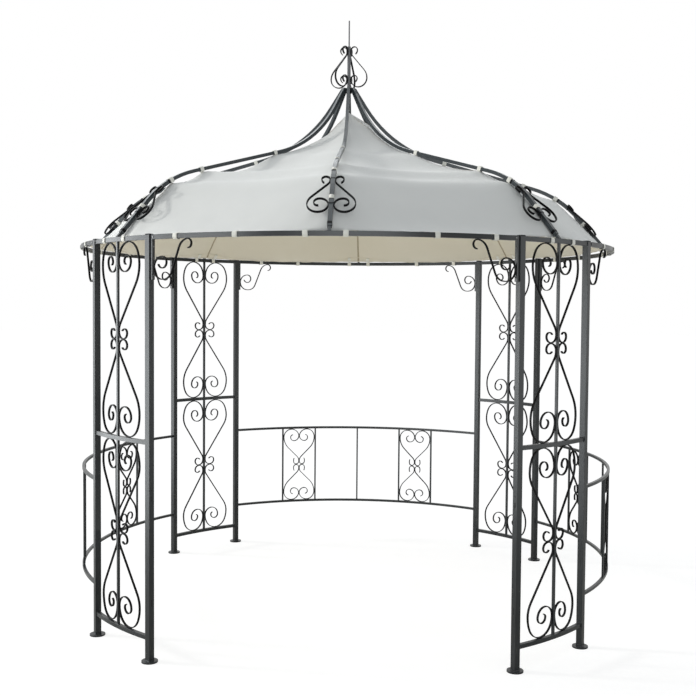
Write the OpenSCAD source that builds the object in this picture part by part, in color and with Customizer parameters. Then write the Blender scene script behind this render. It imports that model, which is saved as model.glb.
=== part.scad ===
// Round garden pavilion: four scrollwork leg panels on a circle, three
// railings, a tube ring, eight curved roof ribs and a tied canvas canopy.
// Millimetres, +Z up. The origin is on the ground at the middle of the
// circle, and the open side faces -Y. Bearings are in degrees from -Y
// towards +X.

/* [Circle] */
// Diameter of the circle of legs, between tube centres
circle_d = 2980; // [2800:10:3200]
// Height of the middle of the ring tube
ring_z = 2000; // [1950:10:2150]
// Square tube of the ring
ring_tube = 22; // [20:1:26]

/* [Leg panels] */
// Distance between the two legs of a panel
panel_w = 512; // [480:2:560]
// Square tube of the legs
leg_tube = 30; // [25:1:36]
// Height of the low arched bar
low_bar_z = 115; // [90:5:160]
// Height of the middle arched bar
mid_bar_z = 1040; // [990:5:1080]
// Square bar of the low and middle arches
panel_bar = 20; // [16:1:24]
// Square upright in the middle of a panel
centre_bar = 12; // [10:1:16]
// Diameter of the foot plates
foot_d = 78; // [60:2:100]
// Thickness of the foot plates
foot_t = 8; // [5:1:12]

/* [Railings] */
// Height of the top rail
top_rail_z = 800; // [760:5:850]
// Height of the bottom rail
low_rail_z = 263; // [230:5:300]
// Square bar of the rails
rail_bar = 15; // [12:1:20]
// Square uprights of the railings
upright_bar = 10; // [8:1:12]
// Sideways distance of the inner uprights from the middle upright
bay_near = 308; // [290:1:330]
// Sideways distance of the outer uprights from the middle upright
bay_far = 539; // [525:1:560]

/* [Scrollwork] */
// Thickness of the flat strip that the scrolls are bent from
strip_t = 5; // [4:0.5:6]
// Depth of that strip
strip_w = 10; // [8:1:14]
// Width of a panel heart, from the upright to its widest place
heart_w = 180; // [165:1:190]
// Radius of the bend between neck and waist of a panel heart
panel_hook_r = 33; // [30:1:36]
// Radius of the bend between neck and waist of a railing heart
rail_hook_r = 19; // [17:1:21]

/* [Corner brackets] */
// Height of the bolted bar on the leg
plate_h = 209; // [200:1:230]
// Distance that the bar stands out from the leg
plate_t = 14; // [10:1:16]
// Width of the bar
plate_w = 16; // [12:1:20]
// Height of the scroll between the ring and the bar's foot
bracket_h = 188; // [180:1:200]

/* [Roof] */
// Height of the top of the hub above the middle of the ring
roof_rise = 945; // [900:1:980]
// Thickness of the hub plate
hub_t = 14; // [10:1:18]
// Diameter of the cup under the hub plate
cup_d = 34; // [24:2:50]
// Square tube of the ribs
rib_tube = 18; // [16:1:20]
// Square tube of the foot pieces that the ribs plug into
rib_foot_tube = 20; // [20:1:24]
// Slope of the ribs at the hub
steep_slope = 58; // [56:1:60]
// Slope of the ribs half way out
flat_slope = 16; // [14:1:18]
// Slope of the ribs at the eaves
eave_slope = 49; // [47:1:52]
// Length of the straight piece at the hub
steep_run = 134; // [120:2:144]
// Radius of the hollow bend below the hub
hollow_r = 700; // [660:10:740]
// Radius of the shoulder bend above the eaves
shoulder_r = 550; // [500:10:600]
// Length of a foot piece, from the ring up over the shoulder
foot_piece = 410; // [380:5:420]
// Length of the narrow tip that joins a foot piece to the ring
tip_run = 26; // [22:1:40]
// Square bar of that tip
tip_bar = 14; // [12:1:18]

/* [Finial] */
// Diameter of the stem
stem_d = 20; // [16:1:26]
// Height of the stem above the hub
stem_h = 241; // [240:1:280]
// Diameter of the spike
spike_d = 8; // [6:1:12]
// Height of the tip of the spike above the hub
spike_top = 389; // [320:1:460]
// Bearing of the scroll that is bent a little off its quarter
bent_scroll_bearing = 318; // [300:1:360]

/* [Canopy] */
// Distance of the canvas below the middle of the ribs
canopy_drop = 20; // [18:1:26]
// Height of the canvas peak below the top of the hub
peak_drop = 135; // [100:1:190]
// Thickness of the canvas shell
canvas_t = 3; // [2:0.5:4]
// Width of the straps that tie the canvas
strap_w = 25; // [16:1:30]
// Thickness of the straps
strap_t = 1.5; // [1:0.1:2]
// Diameter of the cord that holds the canvas peak
cord_d = 4; // [3:0.5:8]

/* [Hidden] */
$fn = 96;
// Facets of a full circle for the bars that follow the ring
arch_facets = 240;
sector = 45;
side_names = ["front", "right", "back", "left"];
corner_names = ["front_right", "back_right", "back_left", "front_left"];
rail_names = ["right", "back", "left"];
rib_names = [
    "front", "front_right", "right", "back_right",
    "back", "back_left", "left", "front_left"
];

metal = [0.22, 0.23, 0.24];
black_metal = [0.1, 0.1, 0.1];
canvas = [0.86, 0.86, 0.82];

// Pieces that touch keep this clearance, and welded pieces share this much
seat_gap = 0.2;
weld = 0.25;
// Furthest that a bent strip strays from its true curve
curve_error = 0.4;

circle_r = circle_d / 2;
hub_z = ring_z + roof_rise;
half_panel = asin(panel_w / circle_d);
half_open = sector - half_panel;
ring_top = ring_z + ring_tube / 2;
ring_under = ring_z - ring_tube / 2;
half_leg = leg_tube / 2;
cup_h = 12;
// Distance of the hub's flat sides, where the ribs butt, from its middle. It
// leaves the corners of neighbouring ribs a little apart.
rib_corner_gap = 4.6;
hub_r = rib_tube / 2 / tan(sector / 2) + rib_corner_gap;
scroll_bearings = [75, 165, 255, bent_scroll_bearing];
// Distances of the rib straps in from the ring's circle, and bearings of the
// ring straps past each rib
strap_places = [136, 298, 490, 940];
strap_bearings = [2.5, 17, 28, 42.5];
// Length that bars run on before they are cut square
cut_off = 60;

// ---- Bent bars: a route is a start [x, y, heading] and a list of bends ----

function line(length) = [0, length];

function bend(radius, turn) = [radius, turn];

// Number of straight steps that keeps a bend within curve_error
function steps(radius, turn) =
    max(2, ceil(abs(turn) / (2 * acos(1 - curve_error / radius))));

function along(s, length) =
    [s.x + length * cos(s.z), s.y + length * sin(s.z), s.z];

function around(s, radius, turn) =
    let (side = sign(turn) * radius, end = s.z + turn)
    [s.x + side * (sin(end) - sin(s.z)), s.y - side * (cos(end) - cos(s.z)), end];

function piece(s, part) =
    part[0] == 0
        ? [s, along(s, part[1])]
        : let (n = steps(part[0], part[1]))
          [for (i = [0:n]) around(s, part[0], part[1] * i / n)];

// Every place on a route, each with its heading
function route(s, parts, i = 0) =
    i == len(parts)
        ? [s]
        : let (p = piece(s, parts[i]))
          concat(
              [for (k = [0:len(p) - 2]) p[k]],
              route(p[len(p) - 1], parts, i + 1)
          );

// Places beside a route, positive to the left of its heading
function beside(places, d) =
    [for (p = places) [p.x - d * sin(p.z), p.y + d * cos(p.z)]];

function backwards(points) =
    [for (i = [len(points) - 1:-1:0]) points[i]];

module bar_outline(places, t)
    polygon(concat(beside(places, t / 2), backwards(beside(places, -t / 2))));

module strip(places)
    linear_extrude(strip_w, center = true)
        bar_outline(places, strip_t);

// ---- Frames for placing things ----

// Local X points outwards at a bearing, and local Y along the circle
module at_bearing(b)
    rotate([0, 0, b - 90])
        children();

// Stands a flat drawing upright: its X along local Y, its Y up
module upright_plane()
    rotate([90, 0, 90])
        children();

// Bar of square section that follows the circle
module arched_bar(tube, z, from, to)
    at_bearing(from)
        rotate_extrude(angle = to - from, $fn = arch_facets)
            translate([circle_r, z])
                square(tube, center = true);

module upright(size, z0, z1)
    translate([circle_r - size / 2, -size / 2, z0])
        cube([size, size, z1 - z0]);

// Bearing, seen from the middle, that clears a bar's side by a distance
function side_angle(distance, tube) = asin(distance / (circle_r - tube / 2));

// ---- Scrolls ----

// Turn of both shoulders of a heart's crown, the share of its two sloping
// bends that the lower one takes, and the length of its neck
crown_angle = 25;
lower_share = 0.25;
neck = 8;

// The same places in the other direction
function turned(places) =
    [for (i = [len(places) - 1:-1:0]) [places[i].x, places[i].y, places[i].z + 180]];

// Half of a waisted motif: a hook at the waist, a neck beside the middle, a
// sloping run, a wide crown and a spiral. near is the strip's middle at the
// neck, far its widest and top its highest.
function heart_places(near, far, top, hook, lean, shoulders, spiral) =
    let (
        waist = hook[0][0] + strip_t / 2 - weld,
        tuck = crown_angle,
        crown_r = (far - near - (shoulders[0] + shoulders[1]) * (1 - cos(tuck)))
            / (2 * cos(tuck)),
        widest = top - shoulders[0] * sin(tuck) - crown_r * (1 - sin(tuck)),
        out = far - near,
        rise = widest - waist - neck,
        bends = (rise * sin(lean) - out * cos(lean)) / (1 - cos(lean)),
        run = (out - bends * (1 - cos(lean))) / sin(lean)
    )
    concat(
        turned(route([near, waist, -90], hook)),
        route(
            [near, waist + neck, 90],
            concat(
                [
                    bend(bends * lower_share, -lean),
                    line(run),
                    bend(bends * (1 - lower_share), lean),
                    bend(shoulders[0], tuck),
                    bend(crown_r, 180 - 2 * tuck),
                    bend(shoulders[1], tuck)
                ],
                spiral
            )
        )
    );

// Lyre scroll of the finial and the ribs. It hangs from height 0 beside a
// bar, touches the bar at two places and bellies out between them.
lyre_lip_r = 28;
lyre_lip_angle = 55;
lyre_curl_r = 19;
lyre_neck = 12;
lyre_neck_r = 25;
lyre_slant = 50;
lyre_belly = [72, 50, 46];
lyre_run = (
        lyre_belly[1] + lyre_belly[2]
        - (lyre_neck_r + lyre_belly[0]) * (1 - sin(lyre_slant))
    ) / cos(lyre_slant);
lyre_length = strip_t + lyre_curl_r + lyre_neck
    + (lyre_neck_r + lyre_belly[0]) * cos(lyre_slant)
    + lyre_run * sin(lyre_slant) + lyre_belly[1];

// Its spiral, on the ribs and, tighter, on the finial
rib_lyre_spiral = [bend(40, -90), bend(26, -90), bend(19, -100)];
finial_lyre_spiral = [bend(21, -90), bend(16, -90), bend(25, -60)];

function lyre_places(near, spiral) =
    route(
        [
            near + 2 * lyre_curl_r - lyre_lip_r * (1 - cos(lyre_lip_angle)),
            -lyre_curl_r - strip_t / 2 - lyre_lip_r * sin(lyre_lip_angle),
            90 - lyre_lip_angle
        ],
        concat(
            [
                bend(lyre_lip_r, lyre_lip_angle),
                bend(lyre_curl_r, 180),
                line(lyre_neck),
                bend(lyre_neck_r, 90 - lyre_slant),
                line(lyre_run),
                bend(lyre_belly[0], -(90 - lyre_slant)),
                bend(lyre_belly[1], -90),
                bend(lyre_belly[2], -90)
            ],
            spiral
        )
    );

// Scroll in the corner of ring and leg. Height 0 is under the ring, and
// the bar's face is at 0 sideways.
bracket_slope = 68;
bracket_curl_r = 21;
bracket_neck_r = 58;
bracket_foot_r = 55;
bracket_sole = 8;
bracket_spiral = [53, 27, 25];
bracket_end_angle = 75;
bracket_run = (
        bracket_h - strip_t
        - (bracket_neck_r + bracket_foot_r) * (1 - cos(bracket_slope))
    ) / sin(bracket_slope);
// Distance of the scroll's highest place from the bar
bracket_reach = bracket_spiral[0] + strip_t / 2 - weld + bracket_sole
    + (bracket_neck_r + bracket_foot_r) * sin(bracket_slope)
    + bracket_run * cos(bracket_slope);

function bracket_places() =
    route(
        [bracket_reach, -strip_t / 2 - seat_gap - 2 * bracket_curl_r, 0],
        [
            bend(bracket_curl_r, 180),
            bend(bracket_neck_r, bracket_slope),
            line(bracket_run),
            bend(bracket_foot_r, -bracket_slope),
            line(bracket_sole),
            bend(bracket_spiral[0], -180),
            bend(bracket_spiral[1], -180),
            bend(bracket_spiral[2], -bracket_end_angle)
        ]
    );

// ---- Leg panels ----

module leg(bearing)
    at_bearing(bearing) {
        upright(leg_tube, foot_t, ring_top);
        translate([circle_r, 0, 0])
            cylinder(d = foot_d, h = foot_t);
    }

module leg_panel(b)
    color(metal) {
        leg(b - half_panel);
        leg(b + half_panel);
        arched_bar(panel_bar, low_bar_z, b - half_panel, b + half_panel);
        arched_bar(panel_bar, mid_bar_z, b - half_panel, b + half_panel);
        arched_bar(ring_tube, ring_z, b - half_panel, b + half_panel);
        at_bearing(b)
            upright(centre_bar, low_bar_z, ring_z);
    }

// Bends of a panel heart: its hook, the lean of its run, the radii of its
// shoulders, and its spiral
panel_hook = [
    bend(panel_hook_r, 90), line(7), bend(28, 90), bend(20, 90), bend(24, 55)
];
panel_lean_angle = 34;
panel_shoulders = [150, 110];
panel_spiral = [bend(50, 180), bend(27, 180), bend(15, 80)];

// Two hearts, one on its head, between heights z0 and z1 on the chord from
// a panel's upright to one of its legs
module panel_hearts(z0, z1) {
    half_chord = circle_r * sin(half_panel / 2);
    near = (centre_bar / 2 + strip_w / 2 * sin(half_panel / 2)) / cos(half_panel / 2)
        + strip_t / 2 + seat_gap;
    top = (z1 - z0) / 2 - strip_t / 2 - seat_gap;
    places = heart_places(
        near, heart_w - strip_t / 2, top, panel_hook, panel_lean_angle,
        panel_shoulders, panel_spiral
    );
    translate([circle_r * cos(half_panel / 2), -half_chord, (z0 + z1) / 2])
        upright_plane() {
            strip(places);
            mirror([0, 1, 0])
                strip(places);
        }
}

module panel_side() {
    panel_hearts(low_bar_z + panel_bar / 2, mid_bar_z - panel_bar / 2);
    panel_hearts(mid_bar_z + panel_bar / 2, ring_under);
}

module panel_scrolls(b)
    color(black_metal)
        at_bearing(b) {
            rotate([0, 0, half_panel / 2])
                panel_side();
            mirror([0, 1, 0])
                rotate([0, 0, half_panel / 2])
                    panel_side();
        }

// ---- Railings ----

module railing(b) {
    reach = half_open - side_angle(half_leg + seat_gap, rail_bar);
    uprights = [-bay_far, -bay_near, 0, bay_near, bay_far];
    color(metal) {
        arched_bar(rail_bar, top_rail_z, b - reach, b + reach);
        arched_bar(rail_bar, low_rail_z, b - reach, b + reach);
        for (x = uprights)
            at_bearing(b + asin(x / circle_r))
                upright(upright_bar, low_rail_z, top_rail_z);
    }
}

// The same bends of a railing heart
rail_hook = [bend(rail_hook_r, 180), line(10), bend(25, 35)];
rail_lean_angle = 45;
rail_shoulders = [60, 40];
rail_spiral = [bend(36, 90), bend(25, 90), bend(19, 85)];

module railing_bay() {
    near_bearing = asin(bay_near / circle_r);
    far_bearing = asin(bay_far / circle_r);
    half_bay = (far_bearing - near_bearing) / 2;
    half_w = circle_r * sin(half_bay) - seat_gap
        - (upright_bar / 2 + strip_w / 2 * sin(half_bay)) / cos(half_bay);
    half_h = (top_rail_z - low_rail_z - rail_bar) / 2;
    places = heart_places(
        strip_t / 2 - weld, half_w - strip_t / 2, half_h - strip_t / 2 - seat_gap,
        rail_hook, rail_lean_angle, rail_shoulders, rail_spiral
    );
    at_bearing(90 + (near_bearing + far_bearing) / 2)
        translate([circle_r * cos(half_bay), 0, (top_rail_z + low_rail_z) / 2])
            upright_plane()
                for (m = [0, 1], n = [0, 1])
                    mirror([m, 0, 0])
                        mirror([0, n, 0])
                            strip(places);
}

module railing_scrolls(b)
    color(black_metal)
        at_bearing(b) {
            railing_bay();
            mirror([0, 1, 0])
                railing_bay();
        }

// ---- Ring and corner brackets ----

module ring_beam(b) {
    reach = half_open - side_angle(half_leg + plate_t + 2 * seat_gap, ring_tube);
    color(metal)
        arched_bar(ring_tube, ring_z, b - reach, b + reach);
}

// Bar and scroll on the leg that lies clockwise of the opening
module corner_bracket() {
    face = half_leg + seat_gap + plate_t;
    swing = (face + bracket_reach) / 2 / circle_r * 180 / PI;
    at_bearing(half_open) {
        translate([circle_r - plate_w / 2, -face, ring_top - plate_h])
            cube([plate_w, plate_t, plate_h]);
        translate([circle_r, -face, ring_under])
            rotate([0, 0, -swing])
                mirror([0, 1, 0])
                    upright_plane()
                        strip(bracket_places());
    }
}

module corner_brackets(b)
    color(black_metal)
        rotate([0, 0, b]) {
            corner_bracket();
            mirror([1, 0, 0])
                corner_bracket();
        }

// ---- Roof ribs ----

// The rib's route starts level with the hub's top, a little way from its side,
// and ends on the ring. Both straight lengths after the hollow bend follow
// from that.
rib_top_out = 5;
rib_start = [hub_r + rib_top_out, hub_z, -steep_slope];
rib_hollow_end = around(
    along(rib_start, steep_run), hollow_r, steep_slope - flat_slope
);
rib_shoulder = around([0, 0, -flat_slope], shoulder_r, flat_slope - eave_slope);
rib_rest = [
    circle_r - rib_hollow_end.x - rib_shoulder.x,
    ring_top - rib_hollow_end.y - rib_shoulder.y
];
rib_det = sin(flat_slope - eave_slope);
flat_run = (-rib_rest.x * sin(eave_slope) - rib_rest.y * cos(eave_slope)) / rib_det;
eave_run = (rib_rest.y * cos(flat_slope) + rib_rest.x * sin(flat_slope)) / rib_det;
rib_places = route(
    rib_start,
    [
        line(steep_run),
        bend(hollow_r, steep_slope - flat_slope),
        line(flat_run),
        bend(shoulder_r, flat_slope - eave_slope),
        line(eave_run)
    ]
);
rib_tip = [circle_r, ring_top, -eave_slope];
// Turn of the shoulder that lies in the foot piece, and the foot piece's top
foot_turn = (foot_piece - eave_run) / shoulder_r * 180 / PI;
foot_top = around(along(rib_tip, -eave_run), -shoulder_r, foot_turn);
// Length of the rib that is plugged into the foot piece
plug = 12;

// Side view of the rib, cut square at its ends by the hub and the ring
module rib_side(places, t, low)
    intersection() {
        bar_outline(places, t);
        translate([hub_r, low])
            square([circle_r, hub_z - low]);
    }

module rib(b) {
    tube_places = route(
        along(rib_start, -cut_off),
        [
            line(steep_run + cut_off),
            bend(hollow_r, steep_slope - flat_slope),
            line(flat_run),
            bend(shoulder_r, flat_slope - eave_slope + foot_turn),
            line(plug)
        ]
    );
    foot_places = route(
        foot_top,
        [bend(shoulder_r, -foot_turn), line(eave_run - tip_run)]
    );
    tip_places = [along(rib_tip, -tip_run - tip_bar / 2), along(rib_tip, cut_off)];
    color(metal)
        at_bearing(b)
            rotate([90, 0, 0]) {
                linear_extrude(rib_tube, center = true)
                    rib_side(tube_places, rib_tube, ring_z);
                linear_extrude(rib_foot_tube, center = true)
                    rib_side(foot_places, rib_foot_tube, ring_z);
                linear_extrude(tip_bar, center = true)
                    rib_side(tip_places, tip_bar, ring_top + seat_gap);
            }
}

// Pair of lyre scrolls beside the rib, in the plane of its eaves. This is the
// distance of their lower end from the ring.
rib_scroll_foot = 115;

module rib_scrolls(b) {
    top = along(rib_tip, -rib_scroll_foot - lyre_length);
    places = lyre_places(rib_foot_tube / 2 + strip_t / 2 + seat_gap, rib_lyre_spiral);
    color(black_metal)
        at_bearing(b)
            translate([top.x, 0, top.y])
                rotate([0, eave_slope - 90, 0])
                    upright_plane() {
                        strip(places);
                        mirror([1, 0, 0])
                            strip(places);
                    }
}

// ---- Hub and finial ----

module hub()
    color(black_metal) {
        translate([0, 0, hub_z - hub_t])
            rotate([0, 0, sector / 2])
                cylinder(r = (hub_r - seat_gap) / cos(sector / 2), h = hub_t, $fn = 8);
        translate([0, 0, hub_z - hub_t - cup_h])
            cylinder(d = cup_d, h = cup_h);
    }

module finial_stem()
    color(metal)
        translate([0, 0, hub_z]) {
            cylinder(d = stem_d, h = stem_h);
            cylinder(d = spike_d, h = spike_top);
        }

module finial_scrolls() {
    places = lyre_places(stem_d / 2 + strip_t / 2 + seat_gap, finial_lyre_spiral);
    color(black_metal)
        for (b = scroll_bearings)
            at_bearing(b)
                translate([0, 0, hub_z + stem_h])
                    rotate([90, 0, 0])
                        strip(places);
}

// ---- Canopy ----

// The canvas runs parallel to the ribs down to its hem, just above the ring
hem_rise = 8;
hem_z = ring_top + hem_rise;
hem_r = circle_r - canopy_drop * sin(eave_slope)
    - (hem_rise + canopy_drop * cos(eave_slope)) / tan(eave_slope);
// Radius of the peak, where the canvas leaves the ribs
peak_r = 170;

// Height of the canvas under a rib, at each distance from the middle
canopy_line = concat(
    [[0, hub_z - peak_drop]],
    [for (p = beside(rib_places, -canopy_drop)) if (p.x > peak_r && p.x < hem_r - 1) p],
    [[hem_r, hem_z]]
);

// Bearings of the canvas's corners past each rib: at the straps and between
gore_bearings = [
    0, strap_bearings[0], (strap_bearings[0] + strap_bearings[1]) / 2,
    strap_bearings[1], sector / 2, strap_bearings[2],
    (strap_bearings[2] + strap_bearings[3]) / 2, strap_bearings[3]
];

// Between ribs the canvas hangs flat, as the side of an eight-sided tent,
// and nearer the hem it follows the ring
function canopy_z(r, past_rib) =
    let (
        flat = cos(sector / 2 - past_rib) / cos(sector / 2),
        share = 1 - pow(r / hem_r, 4)
    )
    lookup(r * (1 + share * (flat - 1)), canopy_line);

canopy_radii = [for (i = [1:len(canopy_line) - 1]) canopy_line[i].x];
canopy_bearings = [for (k = [0:7], g = gore_bearings) [k * sector + g, g]];

function canopy_ring(r, down) =
    [for (c = canopy_bearings) [
        r * sin(c.x),
        -r * cos(c.x),
        canopy_z(r, c.y) - down
    ]];

module canopy() {
    n = len(canopy_bearings);
    m = len(canopy_radii);
    peak = canopy_line[0].y;
    over = concat([[0, 0, peak]], [for (r = canopy_radii) each canopy_ring(r, 0)]);
    under = concat(
        [[0, 0, peak - canvas_t]],
        [for (r = canopy_radii) each canopy_ring(r, canvas_t)]
    );
    first = len(over);
    over_faces = [
        for (j = [0:n - 1]) [0, 1 + (j + 1) % n, 1 + j],
        for (i = [0:m - 2], j = [0:n - 1])
            let (a = 1 + i * n + j, b = 1 + i * n + (j + 1) % n)
            each [[a, b, b + n], [a, b + n, a + n]]
    ];
    rim_faces = [
        for (j = [0:n - 1])
            let (a = 1 + (m - 1) * n + j, b = 1 + (m - 1) * n + (j + 1) % n)
            each [[a, b, first + b], [a, first + b, first + a]]
    ];
    under_faces = [
        for (f = over_faces) [first + f[2], first + f[1], first + f[0]]
    ];
    color(canvas)
        polyhedron(concat(over, under), concat(over_faces, rim_faces, under_faces));
}

// ---- Straps ----

// Closed loop round a square tube, standing clear of it
module strap_loop(tube) {
    inside = tube + 2 * seat_gap;
    difference() {
        square(inside + 2 * strap_t, center = true);
        square(inside, center = true);
    }
}

module ring_strap(b) {
    outer = ring_tube / 2 + seat_gap;
    at_bearing(b)
        rotate([90, 0, 0])
            linear_extrude(strap_w, center = true) {
                translate([circle_r, ring_z])
                    strap_loop(ring_tube);
                polygon([
                    [circle_r - outer - strap_t, ring_top],
                    [circle_r - outer, ring_top],
                    [hem_r, hem_z - canvas_t - seat_gap],
                    [hem_r - strap_t, hem_z - canvas_t - seat_gap]
                ]);
            }
}

// Free end of a strap, short of the canvas
strap_seat = 0.5;

// Place on the rib, with its slope, at a distance from the middle
function rib_place(x) =
    let (
        xs = [for (p = rib_places) [p.x, p.y]],
        slopes = [for (p = rib_places) [p.x, p.z]]
    )
    [x, lookup(x, xs), lookup(x, slopes)];

module rib_strap(b, x) {
    p = rib_place(x);
    tube = x > foot_top.x ? rib_foot_tube : rib_tube;
    loop = tube / 2 + seat_gap;
    at_bearing(b)
        translate([p.x, 0, p.y])
            rotate([0, -p.z, 0])
                rotate([90, 0, 90])
                    linear_extrude(strap_w, center = true) {
                        strap_loop(tube);
                        translate([-strap_t / 2, -canopy_drop + strap_seat])
                            square([strap_t, canopy_drop - strap_seat - loop]);
                    }
}

module canopy_straps()
    color(canvas) {
        for (k = [0:7]) {
            for (s = strap_bearings)
                ring_strap(k * sector + s);
            for (x = strap_places)
                rib_strap(k * sector, circle_r - x);
        }
        translate([0, 0, hub_z - peak_drop + strap_seat])
            cylinder(d = cord_d, h = peak_drop - hub_t - cup_h - strap_seat - seat_gap);
    }

// ---- Nodes ----

for (i = [0:3]) {
    leg_panel(sector + 90 * i);
    panel_scrolls(sector + 90 * i);
    ring_beam(90 * i);
    corner_brackets(90 * i);
}
for (i = [0:2]) {
    railing(90 + 90 * i);
    railing_scrolls(90 + 90 * i);
}
for (i = [0:7]) {
    rib(sector * i);
    rib_scrolls(sector * i);
}
hub();
finial_stem();
finial_scrolls();
canopy();
canopy_straps();
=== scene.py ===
import math

import bpy
import numpy as np
from mathutils import Matrix, Vector


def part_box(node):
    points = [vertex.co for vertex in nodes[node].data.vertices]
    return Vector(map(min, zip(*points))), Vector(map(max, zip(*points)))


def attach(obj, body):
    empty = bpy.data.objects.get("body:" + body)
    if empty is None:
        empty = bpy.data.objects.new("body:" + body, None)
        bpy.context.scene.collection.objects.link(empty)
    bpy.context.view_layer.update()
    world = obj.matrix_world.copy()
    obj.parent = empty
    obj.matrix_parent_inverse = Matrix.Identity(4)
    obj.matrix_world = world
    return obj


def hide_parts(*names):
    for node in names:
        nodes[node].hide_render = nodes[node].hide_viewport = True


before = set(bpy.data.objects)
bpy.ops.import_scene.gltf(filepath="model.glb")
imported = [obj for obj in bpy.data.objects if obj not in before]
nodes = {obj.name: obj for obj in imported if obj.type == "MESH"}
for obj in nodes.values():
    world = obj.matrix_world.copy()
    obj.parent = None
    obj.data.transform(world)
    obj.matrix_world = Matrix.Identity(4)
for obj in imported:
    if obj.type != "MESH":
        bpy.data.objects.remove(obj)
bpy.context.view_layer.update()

scene = bpy.context.scene


# ---- Camera ----

# Fitted to the photograph: turn, place, and focal length in pixels
YAW, PITCH, ROLL = math.radians(-3.0413), math.radians(-2.2891), math.radians(0.4210)
EYE = (0.3137, -5.7885, 1.6761)
FOCAL_PIXELS, PICTURE_PIXELS, SENSOR = 992.08, 696, 36
forward = Vector((
    math.sin(YAW) * math.cos(PITCH),
    math.cos(YAW) * math.cos(PITCH),
    math.sin(PITCH),
))
right = Vector((math.cos(YAW), -math.sin(YAW), 0))
up = right.cross(forward)
cam_x = right * math.cos(ROLL) + up * math.sin(ROLL)
cam_y = up * math.cos(ROLL) - right * math.sin(ROLL)
camera_data = bpy.data.cameras.new("camera")
camera = bpy.data.objects.new("camera", camera_data)
scene.collection.objects.link(camera)
turn = Matrix((cam_x, cam_y, -forward)).transposed().to_4x4()
camera.matrix_world = Matrix.Translation(EYE) @ turn
camera_data.sensor_width = SENSOR
camera_data.lens = FOCAL_PIXELS / PICTURE_PIXELS * SENSOR
camera_data.clip_end = 200
scene.camera = camera


# ---- Sizes, in metres, as in the part ----

RING_R, RING_Z, RING_T = 1.490, 2.000, 0.022
# Tube of the ribs, tube of their foot pieces, and where those start
RIB_T, FOOT_T, FOOT_R = 0.018, 0.020, 1.2055
# Height of the canvas at its peak, and half of a leg panel as an angle
PEAK_Z = 2.810
PANEL_HALF = math.degrees(math.asin(0.256 / RING_R))


def direction(bearing):
    b = np.radians(bearing)
    return np.array([np.sin(b), -np.cos(b), 0.0])


def sideways(bearing):
    b = np.radians(bearing)
    return np.array([np.cos(b), np.sin(b), 0.0])


# A rib's middle line in millimetres: slopes in degrees, radii of its two bends,
# and (distance from the middle, height) where each stretch starts
STEEP, FLAT, EAVE = 58, 16, 49
HOLLOW_R, SHOULDER_R = 700, 550
AT_TOP, AT_HOLLOW, AT_FLAT = (31.33, 2945), (102.34, 2831.36), (503.02, 2529.42)
AT_SHOULDER, AT_EAVE = (1060.81, 2369.48), (1324.30, 2201.62)


def rib_z(r):
    """Height of a rib's middle line."""
    r = np.asarray(r, float) * 1000
    a, b = np.radians(STEEP), np.radians(FLAT)
    steep = AT_TOP[1] - (r - AT_TOP[0]) * np.tan(a)
    t = np.arcsin(np.clip(np.sin(a) - (r - AT_HOLLOW[0]) / HOLLOW_R, -1, 1))
    hollow = AT_HOLLOW[1] - HOLLOW_R * (np.cos(t) - np.cos(a))
    flat = AT_FLAT[1] - (r - AT_FLAT[0]) * np.tan(b)
    t = np.arcsin(np.clip(np.sin(b) + (r - AT_SHOULDER[0]) / SHOULDER_R, -1, 1))
    shoulder = AT_SHOULDER[1] - SHOULDER_R * (np.cos(b) - np.cos(t))
    eaves = AT_EAVE[1] - (r - AT_EAVE[0]) * np.tan(np.radians(EAVE))
    z = np.where(r < AT_HOLLOW[0], steep, hollow)
    z = np.where(r > AT_FLAT[0], flat, z)
    z = np.where(r > AT_SHOULDER[0], shoulder, z)
    return np.where(r > AT_EAVE[0], eaves, z) / 1000


def rib_half(r):
    """Half of the tube at a distance from the middle."""
    return np.where(np.asarray(r) > FOOT_R, FOOT_T, RIB_T) / 2


def rib_slope(r):
    return float(np.arctan((rib_z(r + 1e-4) - rib_z(r - 1e-4)) / 2e-4))


# ---- Materials ----

def new_material(name):
    m = bpy.data.materials.new(name)
    m.use_nodes = True
    tree = m.node_tree
    for n in list(tree.nodes):
        if n.type != "OUTPUT_MATERIAL":
            tree.nodes.remove(n)
    out = tree.nodes[0]
    shader = tree.nodes.new("ShaderNodeBsdfPrincipled")
    tree.links.new(shader.outputs[0], out.inputs[0])
    return m, tree, shader


def node(tree, kind, **values):
    n = tree.nodes.new(kind)
    for key, value in values.items():
        if hasattr(n, key) and key not in ("Scale", "Detail"):
            setattr(n, key, value)
        else:
            n.inputs[key.replace("_", " ")].default_value = value
    return n


def ramp(tree, source, stops):
    n = tree.nodes.new("ShaderNodeValToRGB")
    while len(n.color_ramp.elements) < len(stops):
        n.color_ramp.elements.new(0.5)
    for e, (place, colour) in zip(n.color_ramp.elements, stops):
        e.position = place
        e.color = (*colour, 1)
    tree.links.new(source, n.inputs[0])
    return n


def noise(tree, coords, scale, detail=4, rough=0.5):
    n = tree.nodes.new("ShaderNodeTexNoise")
    n.inputs["Scale"].default_value = scale
    n.inputs["Detail"].default_value = detail
    n.inputs["Roughness"].default_value = rough
    tree.links.new(coords, n.inputs["Vector"])
    return n


def mapped(tree, source, low, high):
    n = tree.nodes.new("ShaderNodeMapRange")
    n.inputs["To Min"].default_value = low
    n.inputs["To Max"].default_value = high
    tree.links.new(source, n.inputs[0])
    return n


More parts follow.
